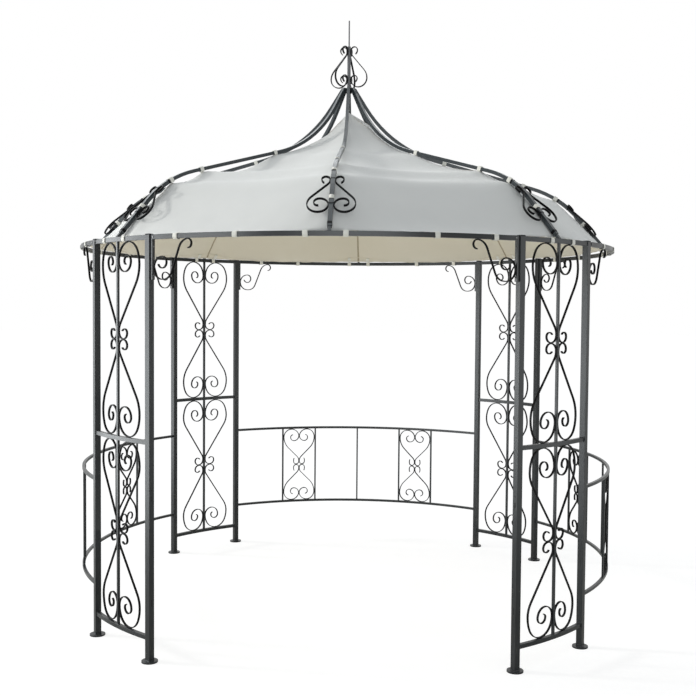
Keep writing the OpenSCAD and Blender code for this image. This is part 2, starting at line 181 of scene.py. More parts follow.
def on_bolted_bar(tree, coords):
    """1 on the bars that are bolted to the legs, 0 on the scrolls beside them."""
    parts = tree.nodes.new("ShaderNodeSeparateXYZ")
    tree.links.new(coords, parts.inputs[0])
    bearing = node(tree, "ShaderNodeMath", operation="ARCTAN2")
    tree.links.new(parts.outputs["Y"], bearing.inputs[0])
    tree.links.new(parts.outputs["X"], bearing.inputs[1])
    folded = node(tree, "ShaderNodeMath", operation="WRAP")
    tree.links.new(bearing.outputs[0], folded.inputs[0])
    folded.inputs[1].default_value = math.pi / 4
    folded.inputs[2].default_value = -math.pi / 4
    off = node(tree, "ShaderNodeMath", operation="ABSOLUTE")
    tree.links.new(folded.outputs[0], off.inputs[0])
    inside = node(tree, "ShaderNodeMath", operation="GREATER_THAN")
    tree.links.new(off.outputs[0], inside.inputs[0])
    inside.inputs[1].default_value = math.radians(45 - PANEL_HALF) - 0.0294 / RING_R
    return inside.outputs[0]


def paint(name, dark, light, rough, edge=0.0012, grain=0.03, bar=None):
    """Powder coat: orange-peel surface, slight cloudiness, rounded edges, and lighter rubbed edges
    that are partly a painted highlight.
    """
    m, tree, shader = new_material(name)
    coords = tree.nodes.new("ShaderNodeTexCoord").outputs["Object"]
    cloud = noise(tree, coords, 3.2, 5, 0.6)
    colour = ramp(tree, cloud.outputs["Fac"], [(0.3, dark), (0.72, light)])
    if bar:
        second = ramp(tree, cloud.outputs["Fac"], [(0.3, bar[0]), (0.72, bar[1])])
        either = node(tree, "ShaderNodeMix", data_type="RGBA")
        on_bar = on_bolted_bar(tree, coords)
        tree.links.new(on_bar, either.inputs["Factor"])
        shine = mapped(tree, on_bar, 0.06, 0.44)
        tree.links.new(shine.outputs[0], shader.inputs["Specular IOR Level"])
        tree.links.new(colour.outputs[0], either.inputs[6])
        tree.links.new(second.outputs[0], either.inputs[7])
        colour_out = either.outputs[2]
    else:
        colour_out = colour.outputs[0]
    round_edge = node(tree, "ShaderNodeBevel", samples=8)
    round_edge.inputs["Radius"].default_value = edge
    geometry = tree.nodes.new("ShaderNodeNewGeometry")
    dot = node(tree, "ShaderNodeVectorMath", operation="DOT_PRODUCT")
    tree.links.new(round_edge.outputs[0], dot.inputs[0])
    tree.links.new(geometry.outputs["Normal"], dot.inputs[1])
    # Lighter colour in patches along the edges: partly wear, partly a painted highlight where the
    # rounded edges catch the light
    worn_and_highlit_edge = node(tree, "ShaderNodeMapRange")
    worn_and_highlit_edge.inputs["From Min"].default_value = 0.99
    worn_and_highlit_edge.inputs["From Max"].default_value = 0.80
    tree.links.new(dot.outputs["Value"], worn_and_highlit_edge.inputs[0])
    patches = noise(tree, coords, 60, 3, 0.6)
    patchy = node(tree, "ShaderNodeMath", operation="MULTIPLY")
    tree.links.new(worn_and_highlit_edge.outputs[0], patchy.inputs[0])
    tree.links.new(patches.outputs["Fac"], patchy.inputs[1])
    mix = node(tree, "ShaderNodeMix", data_type="RGBA")
    tree.links.new(patchy.outputs[0], mix.inputs["Factor"])
    tree.links.new(colour_out, mix.inputs[6])
    mix.inputs[7].default_value = (*[min(1, c * 1.9 + 0.012) for c in light], 1)
    tree.links.new(mix.outputs[2], shader.inputs["Base Color"])
    matt = mapped(tree, cloud.outputs["Fac"], rough - 0.06, rough + 0.08)
    tree.links.new(matt.outputs[0], shader.inputs["Roughness"])
    peel = noise(tree, coords, 420, 2, 0.5)
    bump = node(tree, "ShaderNodeBump")
    bump.inputs["Strength"].default_value = grain
    bump.inputs["Distance"].default_value = 0.0001
    tree.links.new(peel.outputs["Fac"], bump.inputs["Height"])
    tree.links.new(round_edge.outputs[0], bump.inputs["Normal"])
    tree.links.new(bump.outputs[0], shader.inputs["Normal"])
    return m, shader


FRAME_COLOURS = (0.013, 0.015, 0.016), (0.023, 0.026, 0.028)
SCROLL_COLOURS = (0.003, 0.003, 0.0035), (0.006, 0.006, 0.007)
frame_paint, shader = paint("frame_paint", *FRAME_COLOURS, 0.32)
shader.inputs["Specular IOR Level"].default_value = 0.34
# Ribs: the frame's own paint made lighter and bluer, a painted reflection of the sky
rib_paint_sky_reflection, shader = paint("rib_paint_sky_reflection", (0.030, 0.037, 0.041), (0.048, 0.058, 0.063), 0.30)
shader.inputs["Specular IOR Level"].default_value = 0.34
# Finial stem: a much lighter grey than the frame paint, a painted lit face
stem_paint_lit_face, shader = paint("stem_paint_lit_face", (0.110, 0.112, 0.120), (0.160, 0.163, 0.172), 0.34)
shader.inputs["Specular IOR Level"].default_value = 0.50
bracket_paint, shader = paint("bracket_paint", *SCROLL_COLOURS, 0.28, edge=0.001, bar=FRAME_COLOURS)
scroll_paint, shader = paint("scroll_paint", *SCROLL_COLOURS, 0.40, edge=0.001)
shader.inputs["Specular IOR Level"].default_value = 0.07
bolt_metal, shader = paint("bolt_metal", (0.10, 0.10, 0.10), (0.17, 0.17, 0.17), 0.40, edge=0.0006)
shader.inputs["Metallic"].default_value = 0.6
# Bolt holes: near-black, a painted shade for the inside of each hole, its tone varied a little by
# noise
hole_painted_shade, tree, shader = new_material("hole_painted_shade")
coords = tree.nodes.new("ShaderNodeTexCoord").outputs["Object"]
shade_tone = noise(tree, coords, 200).outputs["Fac"]
colour = ramp(tree, shade_tone, [(0.3, (0.004, 0.004, 0.004)), (0.7, (0.008, 0.008, 0.008))])
tree.links.new(colour.outputs[0], shader.inputs["Base Color"])
shader.inputs["Roughness"].default_value = 0.9


def cloth(name, stops, thread=620, weave=0.25, rough=0.82, sheen=0.25):
    """Woven canvas: two crossed thread directions, soft stains and creases."""
    m, tree, shader = new_material(name)
    uv = tree.nodes.new("ShaderNodeTexCoord").outputs["UV"]
    coords = tree.nodes.new("ShaderNodeTexCoord").outputs["Object"]
    stains = noise(tree, coords, 1.7, 6, 0.62)
    threads = []
    for axis in ("X", "Y"):
        w = tree.nodes.new("ShaderNodeTexWave")
        w.bands_direction = axis
        w.inputs["Scale"].default_value = thread / 2
        w.inputs["Distortion"].default_value = 0.6
        w.inputs["Detail"].default_value = 1
        tree.links.new(uv, w.inputs["Vector"])
        threads.append(w)
    both = node(tree, "ShaderNodeMath", operation="MULTIPLY")
    tree.links.new(threads[0].outputs["Fac"], both.inputs[0])
    tree.links.new(threads[1].outputs["Fac"], both.inputs[1])
    colour = ramp(tree, stains.outputs["Fac"], stops)
    tree.links.new(colour.outputs[0], shader.inputs["Base Color"])
    matt = mapped(tree, stains.outputs["Fac"], rough - 0.05, rough + 0.05)
    tree.links.new(matt.outputs[0], shader.inputs["Roughness"])
    shader.inputs["Sheen Weight"].default_value = sheen
    shader.inputs["Sheen Roughness"].default_value = 0.5
    creases = noise(tree, coords, 9, 5, 0.55)
    bump = node(tree, "ShaderNodeBump")
    bump.inputs["Strength"].default_value = 0.35
    bump.inputs["Distance"].default_value = 0.004
    tree.links.new(creases.outputs["Fac"], bump.inputs["Height"])
    fine = node(tree, "ShaderNodeBump")
    fine.inputs["Strength"].default_value = weave
    fine.inputs["Distance"].default_value = 0.0003
    tree.links.new(both.outputs[0], fine.inputs["Height"])
    tree.links.new(bump.outputs[0], fine.inputs["Normal"])
    tree.links.new(fine.outputs[0], shader.inputs["Normal"])
    return m


canvas_over = cloth("canvas_over", [
    (0.28, (0.680, 0.686, 0.668)),
    (0.72, (0.738, 0.742, 0.718)),
])
# Underside: the same cream canvas as the top, made warmer and more yellow as painted light shining
# through the cloth
canvas_under = cloth("canvas_under", [
    (0.28, (0.790, 0.730, 0.590)),
    (0.72, (0.840, 0.785, 0.655)),
])
canvas_seam = cloth("canvas_seam", [(0.3, (0.40, 0.33, 0.22)), (0.7, (0.46, 0.38, 0.26))])
canvas_thread = cloth("canvas_thread", [
    (0.3, (0.62, 0.56, 0.44)),
    (0.7, (0.70, 0.64, 0.52)),
], thread=2000, weave=0.5)
strap_cloth = cloth("strap_cloth", [
    (0.3, (0.82, 0.81, 0.74)),
    (0.7, (0.88, 0.87, 0.80)),
], thread=900, weave=0.4)


# ---- Mesh helpers ----

def add_object(name, mesh, body="root"):
    o = bpy.data.objects.new(name, mesh)
    scene.collection.objects.link(o)
    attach(o, body)
    return o


def make_mesh(name, verts, faces, material_list, smooth=True, face_materials=None, uvs=None):
    mesh = bpy.data.meshes.new(name)
    mesh.from_pydata([tuple(v) for v in verts], [], [tuple(int(i) for i in f) for f in faces])
    for m in material_list:
        mesh.materials.append(m)
    if face_materials is not None:
        mesh.polygons.foreach_set("material_index", np.asarray(face_materials, np.int32))
    mesh.polygons.foreach_set("use_smooth", np.full(len(mesh.polygons), smooth))
    if uvs is not None:
        layer = mesh.uv_layers.new(name="UVMap")
        index = np.zeros(len(mesh.loops), np.int32)
        mesh.loops.foreach_get("vertex_index", index)
        layer.data.foreach_set("uv", np.asarray(uvs, np.float32)[index].ravel())
    mesh.validate()
    mesh.update()
    return mesh


# ---- Canopy ----

RIBS = np.arange(8) * 45.0
STRAP_R = [0.550, 1.000, 1.192, 1.354]
# How far the two upper straps of some ribs sit from those places
STRAP_SHIFT = {
    0.0: (0.012, -0.012), 315.0: (-0.012, 0.012), 270.0: (-0.012, 0.005),
    90.0: (0.006, 0.008), 180.0: (-0.008, 0.004),
}
# Distance and height of the hem, and thickness of the canvas
HEM_R, HEM_Z, CLOTH_T = 1.4640, 2.0165, 0.0012
RING_STRAPS = [
    2.8, 18.3, 29.4, 42.6, 49.0, 63.2, 73.5, 87.2, 92.4, 107.3, 118.4, 132.4,
    137.8, 152.5, 163.4, 177.3, 182.6, 197.2, 207.8, 222.4, 227.7, 242.3, 252.6, 267.4,
    272.6, 287.4, 298.2, 310.2, 317.6, 331.6, 343.7, 356.0,
]

# Distance of the canvas below the ribs' middle line: drawn tight, and hung slack
TIGHT = [
    (0.171, 24), (0.30, 17), (0.42, 16), (0.550, 12), (0.68, 24), (0.78, 28), (0.90, 24),
    (1.0, 12), (1.06, 25), (1.11, 29), (1.192, 13), (1.28, 26), (1.354, 19), (1.42, 18),
]
SLACK = [
    (0.129, 117), (0.205, 72), (0.265, 49), (0.33, 33), (0.397, 23), (0.475, 16), (0.545, 12),
    (0.60, 29), (0.649, 42), (0.722, 57), (0.816, 57), (0.886, 48), (0.932, 37), (0.97, 24),
    (1.0, 14), (1.025, 26), (1.055, 41), (1.11, 48), (1.15, 38), (1.192, 15), (1.23, 34),
    (1.28, 40), (1.32, 32), (1.354, 20), (1.42, 20),
]


def ridge_table(table):
    """Height of the canvas along a rib, out to the hem, with its bends rounded."""
    r = np.linspace(0, HEM_R, 1200)
    first = table[0][0]
    known_r = np.array([t[0] for t in table])
    drop = np.interp(r, known_r, np.array([t[1] for t in table]) / 1000)
    z = rib_z(r) - drop
    cone = PEAK_Z + (rib_z(first) - table[0][1] / 1000 - PEAK_Z) * (r / first)
    z = np.where(r < first, cone, z)
    last = known_r[-1]
    z_last = rib_z(last) - table[-1][1] / 1000
    hem = z_last + (HEM_Z - z_last) * np.clip((r - last) / (HEM_R - last), 0, 1)
    z = np.where(r > last, hem, z)
    kernel = np.hanning(25)
    padded = np.concatenate([2 * z[0] - z[12:0:-1], z, 2 * z[-1] - z[-2:-14:-1]])
    smooth = np.convolve(padded, kernel / kernel.sum(), mode="valid")
    return r, smooth


TABLE_R, TIGHT_Z = ridge_table(TIGHT)
_, SLACK_Z = ridge_table(SLACK)


def soften(z, width=0.16):
    """The same line away from the ribs, evened out over a width."""
    n = int(width / (TABLE_R[1] - TABLE_R[0])) | 1
    kernel = np.hanning(n)
    half = n // 2
    padded = np.concatenate([2 * z[0] - z[half:0:-1], z, 2 * z[-1] - z[-2:-half - 2:-1]])
    return np.convolve(padded, kernel / kernel.sum(), mode="valid")


TIGHT_SOFT, SLACK_SOFT = soften(TIGHT_Z), soften(SLACK_Z)


def canopy_height(r, bearing):
    """Height of the canvas before its small folds: ridges below the ribs, flatter between."""
    past = np.abs((bearing + 22.5) % 45 - 22.5)
    slack = 0.55 - 0.45 * np.sin(np.radians(bearing))
    flat = np.cos(np.radians(22.5 - past)) / np.cos(np.radians(22.5))
    share = 1 - (r / HEM_R) ** 12
    reach = np.clip(r * (1 + share * (flat - 1)), 0, HEM_R)

    def between(tight, hung):
        drawn, loose = np.interp(reach, TABLE_R, tight), np.interp(reach, TABLE_R, hung)
        return (1 - slack) * drawn + slack * loose

    ridge, soft = between(TIGHT_Z, SLACK_Z), between(TIGHT_SOFT, SLACK_SOFT)
    near = np.exp(-(past / 4.5) ** 2)
    inner = np.clip((0.25 - r) / 0.25, 0, 1)
    near = np.maximum(near, inner)
    middle = np.sin(np.pi * np.clip(past / 22.5, 0, 1) / 2) ** 2
    outward = np.sin(np.pi * np.clip(r / HEM_R, 0, 1)) ** 0.7
    lift = 0.0032 * np.sin(np.radians(bearing)) * (r / HEM_R) ** 12
    return near * ridge + (1 - near) * (soft - 0.004) - 0.010 * middle * outward + lift


def canopy_folds(r, bearing, x, y):
    """Small folds that run out from the straps, and soft waves across a gore."""
    rise = np.zeros_like(r)
    places = [(s, HEM_R, 1.0) for s in RING_STRAPS]
    places += [(b, d, 0.8) for b in RIBS for d in STRAP_R[1:]]
    for k, (b, d, strength) in enumerate(places):
        px, py = direction(b)[0] * d, direction(b)[1] * d
        dx, dy = x - px, y - py
        reach = np.hypot(dx, dy)
        angle = np.arctan2(dy, dx)
        fan = strength * 0.0032 * np.cos(7 * angle + 1.7 * k)
        rise += fan * np.exp(-reach / 0.10) * np.clip(reach / 0.03, 0, 1)
    gore = np.floor(bearing / 45)
    wave = np.sin(r * 9.0 + gore * 2.1 + np.radians(bearing) * 5)
    wave = wave * np.sin(np.radians(bearing % 45) * 4 + gore)
    rise += 0.0035 * wave * np.clip(r / 0.5, 0, 1) * np.clip((HEM_R - r) / 0.15, 0, 1)
    ripple = np.sin(np.radians(bearing) * 96 + gore * 1.3) * np.exp(-(HEM_R - r) / 0.05)
    rise += 0.0014 * ripple
    return rise


def build_canopy():
    spokes = 320
    near_hem = [1.412, 1.424, 1.434, 1.443, 1.450, HEM_R]
    rings = np.concatenate([[0.012, 0.03, 0.055], np.linspace(0.085, 1.40, 74), near_hem])
    bearings = np.arange(spokes) * 360 / spokes
    B, R = np.meshgrid(bearings, rings)
    hem_pull = np.full_like(B, 0.0)
    for s in RING_STRAPS:
        away = np.abs((B - s + 180) % 360 - 180)
        hem_pull = np.maximum(hem_pull, np.exp(-(away / 2.2) ** 2))
    inset = 0.006 * (1 - hem_pull) * np.clip((R - 1.35) / (HEM_R - 1.35), 0, 1) ** 2
    RR = R - inset
    X, Y = np.sin(np.radians(B)) * RR, -np.cos(np.radians(B)) * RR
    Z = canopy_height(R, B) + canopy_folds(R, B, X, Y)
    # The canvas stays below the ribs' undersides
    half = rib_half(R) + 0.0026
    off = np.abs((B + 22.5) % 45 - 22.5)
    beside = np.sin(np.radians(off)) * R
    slope = np.abs(np.gradient(rib_z(rings), rings))[:, None]
    ceiling = rib_z(R) - half * np.sqrt(1 + slope ** 2)
    Z = np.where((beside < 0.030) & (R > 0.09), np.minimum(Z, ceiling), Z)
    over = np.stack([X, Y, Z], -1).reshape(-1, 3)
    over = np.concatenate([[[0, 0, PEAK_Z]], over])
    # Normals of the grid, for the thickness
    P = np.stack([X, Y, Z], -1)
    dr = np.gradient(P, axis=0)
    db = np.roll(P, -1, axis=1) - np.roll(P, 1, axis=1)
    N = np.cross(dr, db)
    N /= np.linalg.norm(N, axis=-1, keepdims=True)
    N = np.where(N[..., 2:3] < 0, -N, N)
    N = np.concatenate([[[0, 0, 1.0]], N.reshape(-1, 3)])
    under = over - N * CLOTH_T
    count = len(over)
    m = len(rings)
    faces, mats = [], []

    def at(i, j):
        return 1 + i * spokes + j % spokes

    for j in range(spokes):
        faces.append((0, at(0, j), at(0, j + 1)))
        mats.append(0)
        faces.append((count, count + at(0, j + 1), count + at(0, j)))
        mats.append(1)
    for i in range(m - 1):
        for j in range(spokes):
            quad = at(i, j), at(i + 1, j), at(i + 1, j + 1), at(i, j + 1)
            faces.append(quad)
            mats.append(0)
            faces.append(tuple(count + quad[q] for q in (0, 3, 2, 1)))
            mats.append(1)
    for j in range(spokes):
        this, after = at(m - 1, j), at(m - 1, j + 1)
        faces.append((this, count + this, count + after, after))
        mats.append(0)
    steps = np.diff(np.stack([R[:, 0], Z[:, 0]], -1), axis=0)
    slant = np.concatenate([[0], np.cumsum(np.linalg.norm(steps, axis=1))])
    U = np.radians(B) * 0.9
    V = np.broadcast_to(slant[:, None], B.shape)
    uv = np.concatenate([[[0, 0]], np.stack([U, V], -1).reshape(-1, 2)])
    uvs = np.concatenate([uv, uv])
    both = np.concatenate([over, under])
    mesh = make_mesh("canopy_cloth", both, faces, [canvas_over, canvas_under], True, mats, uvs)
    return mesh, P, N[1:].reshape(P.shape), rings, bearings


canopy_mesh, CP, CN, RINGS, BEARINGS = build_canopy()
canopy = add_object("canopy_cloth", canopy_mesh)
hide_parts("canopy")


def on_canopy(r, bearing):
    """Place and normal on the canvas."""
    i = np.interp(r, RINGS, np.arange(len(RINGS)))
    j = (bearing % 360) / 360 * len(BEARINGS)
    i0, j0 = int(min(i, len(RINGS) - 2)), int(j) % len(BEARINGS)
    fi, fj = i - i0, j - int(j)
    j1 = (j0 + 1) % len(BEARINGS)
    here = CP[i0, j0] * (1 - fi) + CP[i0 + 1, j0] * fi
    beside = CP[i0, j1] * (1 - fi) + CP[i0 + 1, j1] * fi
    return here * (1 - fj) + beside * fj, CN[i0, j0]


def build_seams():
    """Sewn seams below the ribs, and the turned hem with its rows of stitches."""
    verts, faces, uvs = [], [], []

    def band(points, across, normals, width, thick):
        start = len(verts)
        length = 0.0
        for k, (p, a, n) in enumerate(zip(points, across, normals)):
            if k:
                length += float(np.linalg.norm(p - points[k - 1]))
            low = p - n * 0.0014
            for side, deep in ((-0.5, 0), (-0.42, thick), (0.42, thick), (0.5, 0)):
                verts.append(low + a * width * side - n * deep)
                uvs.append((side * width, length))
        for k in range(len(points) - 1):
            for s in range(3):
                a0 = start + k * 4 + s
                faces.append((a0, a0 + 1, a0 + 5, a0 + 4))

    for b in RIBS:
        pts, acr, nrm = [], [], []
        for r in np.linspace(0.05, HEM_R - 0.005, 90):
            p, n = on_canopy(r, b)
            pts.append(p)
            nrm.append(n)
            acr.append(sideways(b))
        band(pts, acr, nrm, 0.012, 0.0014)
    mesh = make_mesh("canopy_seams", verts, faces, [canvas_seam], True, None, uvs)
    seams = add_object("canopy_seams", mesh)
    verts, faces, uvs = [], [], []
    pts, acr, nrm = [], [], []
    for k in range(361):
        p, n = on_canopy(HEM_R - 0.016, k * 1.0)
        q, _ = on_canopy(HEM_R - 0.030, k * 1.0)
        d = p - q
        pts.append(p)
        nrm.append(n)
        acr.append(d / np.linalg.norm(d))
    band(pts, acr, nrm, 0.026, 0.0010)
    # The hem takes the underside colour, with its painted light through the cloth
    mesh = make_mesh("canopy_hem", verts, faces, [canvas_under], True, None, uvs)
    return seams, add_object("canopy_hem", mesh)


seams, hem = build_seams()


# Width and thickness of the stitching thread
THREAD_W, THREAD_T = 0.0007, 0.0006


def build_stitches():
    """Two rows of stitches round the hem, and one on each side of every seam."""
    verts, faces = [], []

    def stitch(p, n, along, length, lift):
        side = np.cross(along, n)
        for a in (-0.5, 0.5):
            for b, deep in ((-0.5, 0.0), (0.5, 0.0), (0.5, 1.0), (-0.5, 1.0)):
                across = side * THREAD_W * b
                verts.append(p + along * length * a + across - n * (lift + THREAD_T * deep))
        s = len(verts) - 8
        for q in range(4):
            faces.append((s + q, s + (q + 1) % 4, s + 4 + (q + 1) % 4, s + 4 + q))
        faces.append((s + 3, s + 2, s + 1, s))
        faces.append((s + 4, s + 5, s + 6, s + 7))

    for r in (HEM_R - 0.0265, HEM_R - 0.0055):
        count = int(2 * math.pi * r / 0.008)
        for k in range(count):
            b = 360 * k / count
            p, n = on_canopy(r, b)
            stitch(p, n, sideways(b), 0.0045, 0.0022)
    for b in RIBS:
        for r in np.arange(0.10, HEM_R - 0.008, 0.009):
            for side in (-0.0036, 0.0036):
                shift = math.degrees(side / r)
                p, n = on_canopy(r, b + shift)
                q, _ = on_canopy(r + 0.004, b + shift)
                along = (q - p) / np.linalg.norm(q - p)
                stitch(p, n, along, 0.005, 0.0026)
    mesh = make_mesh("canopy_stitches", verts, faces, [canvas_thread], False)
    return add_object("canopy_stitches", mesh)


stitches = build_stitches()


# ---- Straps ----

# Width and thickness of a strap, its gap to the tube inside, and its corners round it
STRAP_W, STRAP_T, STRAP_GAP, STRAP_CORNER = 0.024, 0.0016, 0.0006, 0.004


def loop_path(half, slack, steps=5):
    """Rounded square round a tube, as points [across, up], the lower side hung slack."""
    out = []
    size = half + STRAP_GAP
    corner = STRAP_CORNER
    for cx, cy, start in ((1, 1, 0), (-1, 1, 90), (-1, -1, 180), (1, -1, 270)):
        for k in range(steps + 1):
            a = math.radians(start + 90 * k / steps)
            out.append([
                cx * (size - corner) + corner * math.cos(a),
                cy * (size - corner) + corner * math.sin(a),
            ])
    path = np.array(out)
    drop = np.clip(-path[:, 1] / size, 0, 1)
    path[:, 1] -= slack * drop * np.cos(np.clip(path[:, 0] / size, -1, 1) * 1.3)
    return path


class Bands:
    def __init__(self):
        self.verts, self.faces, self.uvs = [], [], []

    def add(self, path, origin, axis_u, axis_v, axis_w, width, closed, waist=0.0, skew=0.0):
        """A band of cloth that follows path in the u-v plane, width along w."""
        path = np.asarray(path, float)
        n = len(path)
        ahead = np.roll(path, -1, 0) - np.roll(path, 1, 0)
        if not closed:
            ahead[0], ahead[-1] = path[1] - path[0], path[-1] - path[-2]
        ahead /= np.maximum(np.linalg.norm(ahead, axis=1, keepdims=True), 1e-9)
        out = np.stack([ahead[:, 1], -ahead[:, 0]], 1)
        across = [-0.5, -0.44, -0.2, 0.2, 0.44, 0.5]
        lift = [0.35, 0.9, 1.0, 1.0, 0.9, 0.35]
        start = len(self.verts)
        run = 0.0
        for k in range(n):
            if k:
                run += float(np.linalg.norm(path[k] - path[k - 1]))
            w = width * (1 - waist * (0.5 + 0.5 * math.sin(6.28 * k / n)))
            shift = skew * path[k][1]
            for side in (0.5, -0.5):
                for a, l in zip(across, lift):
                    p = path[k] + out[k] * STRAP_T * (0.5 + side * l)
                    place = origin + axis_u * p[0] + axis_v * p[1]
                    self.verts.append(place + axis_w * (a * w + shift))
                    self.uvs.append((a * w, run))
        m = 12
        ring = [0, 1, 2, 3, 4, 5, 11, 10, 9, 8, 7, 6]
        last = n if closed else n - 1
        for k in range(last):
            a0, b0 = start + k * m, start + ((k + 1) % n) * m
            for q in range(m):
                c, d = ring[q], ring[(q + 1) % m]
                self.faces.append((a0 + c, a0 + d, b0 + d, b0 + c))
        if not closed:
            self.faces.append(tuple(start + c for c in reversed(ring)))
            self.faces.append(tuple(start + (n - 1) * m + c for c in ring))


def build_straps():
    bands = Bands()
    rng = np.random.default_rng(7)
    z = np.array([0, 0, 1.0])
    for s in RING_STRAPS:
        d, t = direction(s), sideways(s)
        origin = d * RING_R + z * RING_Z
        slack = 0.001 + 0.0025 * rng.random()
        path = loop_path(RING_T / 2, slack)
        waist, skew = 0.06 * rng.random(), rng.uniform(-0.08, 0.08)
        bands.add(path, origin, d, z, t, STRAP_W, True, waist, skew)
        # Overlapped end on the outer face
        size = RING_T / 2 + STRAP_GAP + STRAP_T
        end = [
            [size, 0.006 + 0.004 * rng.random()],
            [size + 0.0002, -0.004],
            [size + 0.0002, -0.010],
        ]
        bands.add(end[::-1], origin, d, z, t, STRAP_W * 0.96, False)
        # Tab that is sewn on under the hem
        tab = [
            [-RING_T / 2 + 0.004, RING_T / 2 + 0.0030],
            [-RING_T / 2 - 0.004, RING_T / 2 + 0.0028],
        ]
        for r in (HEM_R - 0.004, HEM_R - 0.014, HEM_R - 0.026):
            p, n = on_canopy(r, s)
            local = p - n * 0.0040 - origin
            tab.append([float(local @ d), float(local[2])])
        bands.add(tab, origin, d, z, t, STRAP_W * 0.9, False)
    for b in RIBS:
        d, t = direction(b), sideways(b)
        shifts = STRAP_SHIFT.get(float(b), (0.0, 0.0)) + (0.0, 0.0)
        for r, shift in zip(STRAP_R, shifts):
            r += shift
            a = rib_slope(r)
            along = d * math.cos(a) + z * math.sin(a)
            normal = z * math.cos(a) - d * math.sin(a)
            origin = d * r + z * float(rib_z(r))
            half = float(rib_half(r))
            path = loop_path(half, 0.002 + 0.002 * rng.random())
            width = STRAP_W * rng.uniform(0.85, 1.0)
            waist, skew = 0.08 * rng.random(), rng.uniform(-0.1, 0.1)
            bands.add(path, origin, t, normal, along, width, True, waist, skew)
            size = half + STRAP_GAP + STRAP_T
            end = [[0.007, size], [0, size + 0.0002], [-0.008, size + 0.0002]]
            bands.add(end, origin, t, normal, along, STRAP_W * 0.86, False)
            p, _ = on_canopy(r, b)
            drop = float((p - origin) @ normal)
            if drop < -half - 0.004:
                hanger = [[0, -half - 0.002], [0.0006, (drop - half) / 2], [0, drop + 0.0005]]
                bands.add(hanger, origin, t, normal, along, STRAP_W * 0.8, False)
    mesh = make_mesh("canopy_ties", bands.verts, bands.faces, [strap_cloth], True, None, bands.uvs)
    return add_object("canopy_ties", mesh)


ties = build_straps()
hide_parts("canopy_straps")


# ---- CAD nodes: materials and shading ----

BLACK = (
    "panel_scrolls", "railing_scrolls", "corner_brackets",
    "rib_scrolls", "finial_scrolls", "hub",
)
for name, o in nodes.items():
    black = name.startswith(BLACK)
    m = scroll_paint if black else frame_paint
    if name.startswith("corner_brackets"):
        m = bracket_paint
    # Ribs and their grey sleeves get the paint with the painted sky reflection
    elif name.startswith("rib_") and not black:
        m = rib_paint_sky_reflection
    elif name == "finial_stem":
        m = stem_paint_lit_face
    if not o.material_slots:
        o.data.materials.append(m)
    for s in o.material_slots:
        s.material = m


# ---- Small fittings ----

HALF_LEG = 0.015
OPENING_HALF = 45 - PANEL_HALF
LEGS = [(side * 90 + turn * OPENING_HALF, turn) for side in range(4) for turn in (-1, 1)]
UP = np.array([0, 0, 1.0])


def square_loop(half, corner, steps=3):
    out = []
    for cx, cy, start in ((1, 1, 0), (-1, 1, 90), (-1, -1, 180), (1, -1, 270)):
        for k in range(steps + 1):
            a = math.radians(start + 90 * k / steps)
            out.append((
                cx * (half - corner) + corner * math.cos(a),
                cy * (half - corner) + corner * math.sin(a),
            ))
    return np.array(out)


def round_loop(radius, count=20):
    a = np.arange(count) * 2 * np.pi / count
    return np.stack([radius * np.cos(a), radius * np.sin(a)], 1)


def slot_loop(radius, length, count=10):
    a = np.linspace(0, np.pi, count)
    top = np.stack([radius * np.cos(a), length / 2 + radius * np.sin(a)], 1)
    return np.concatenate([top, -top])


class Solids:
    """Closed shapes, each lofted through loops, kept in one mesh."""

    def __init__(self):
        self.verts, self.faces = [], []

    def loft(self, loops):
        start, n = len(self.verts), len(loops[0])
        for loop in loops:
            self.verts.extend(loop)
        for k in range(len(loops) - 1):
            a, b = start + k * n, start + (k + 1) * n
            for q in range(n):
                s = (q + 1) % n
                self.faces.append((a + q, a + s, b + s, b + q))
        self.faces.append(tuple(start + q for q in reversed(range(n))))
        self.faces.append(tuple(start + (len(loops) - 1) * n + q for q in range(n)))

    def stack(self, place, u, v, axis, steps, shape):
        """Loops of growing height along axis; steps are (height, size)."""
        self.loft([[place + axis * h + u * x + v * y for x, y in shape(size)] for h, size in steps])

    def finish(self, name, material, slot):
        mesh = make_mesh(name, self.verts, self.faces, [material], False)
        return add_object(name, mesh)


def rib_sleeve(solids, bearing, r0, r1, half):
    """Square sleeve round a rib, between two distances from the middle."""
    d, t = direction(bearing), sideways(bearing)
    bevel = 0.0008
    # A size below 0 is added to half of the rib's own tube
    rows = [
        (r0, -0.0004), (r0, half - bevel), (r0 + bevel, half),
        (r1 - bevel, half), (r1, half - bevel), (r1, -0.0004),
    ]
    loops = []
    for r, size in rows:
        a = rib_slope(r)
        normal = UP * math.cos(a) - d * math.sin(a)
        if size < 0:
            size = float(rib_half(r)) + size
        origin = d * r + UP * float(rib_z(r))
        loops.append([origin + t * x + normal * y for x, y in square_loop(size, 0.0022)])
    solids.loft(loops)


def build_peak_cord():
    """Cord from the canvas peak up to the hub, knotted over the canvas."""
    cord = Solids()
    x, y = np.array([1.0, 0, 0]), np.array([0, 1.0, 0])
    top = float(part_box("hub")[0][2]) - PEAK_Z + 0.001
    thin = 0.0020
    knot = [(0.0080, thin), (0.0100, 0.0040), (0.0130, 0.0050), (0.0160, 0.0040), (0.0180, thin)]
    steps = [(-0.0020, thin)] + knot + [(top / 2, thin), (top, thin)]
    cord.stack(UP * PEAK_Z, x, y, UP, steps, lambda s: round_loop(s, 12))
    cord.finish("peak_cord", strap_cloth, "strap_canvas")


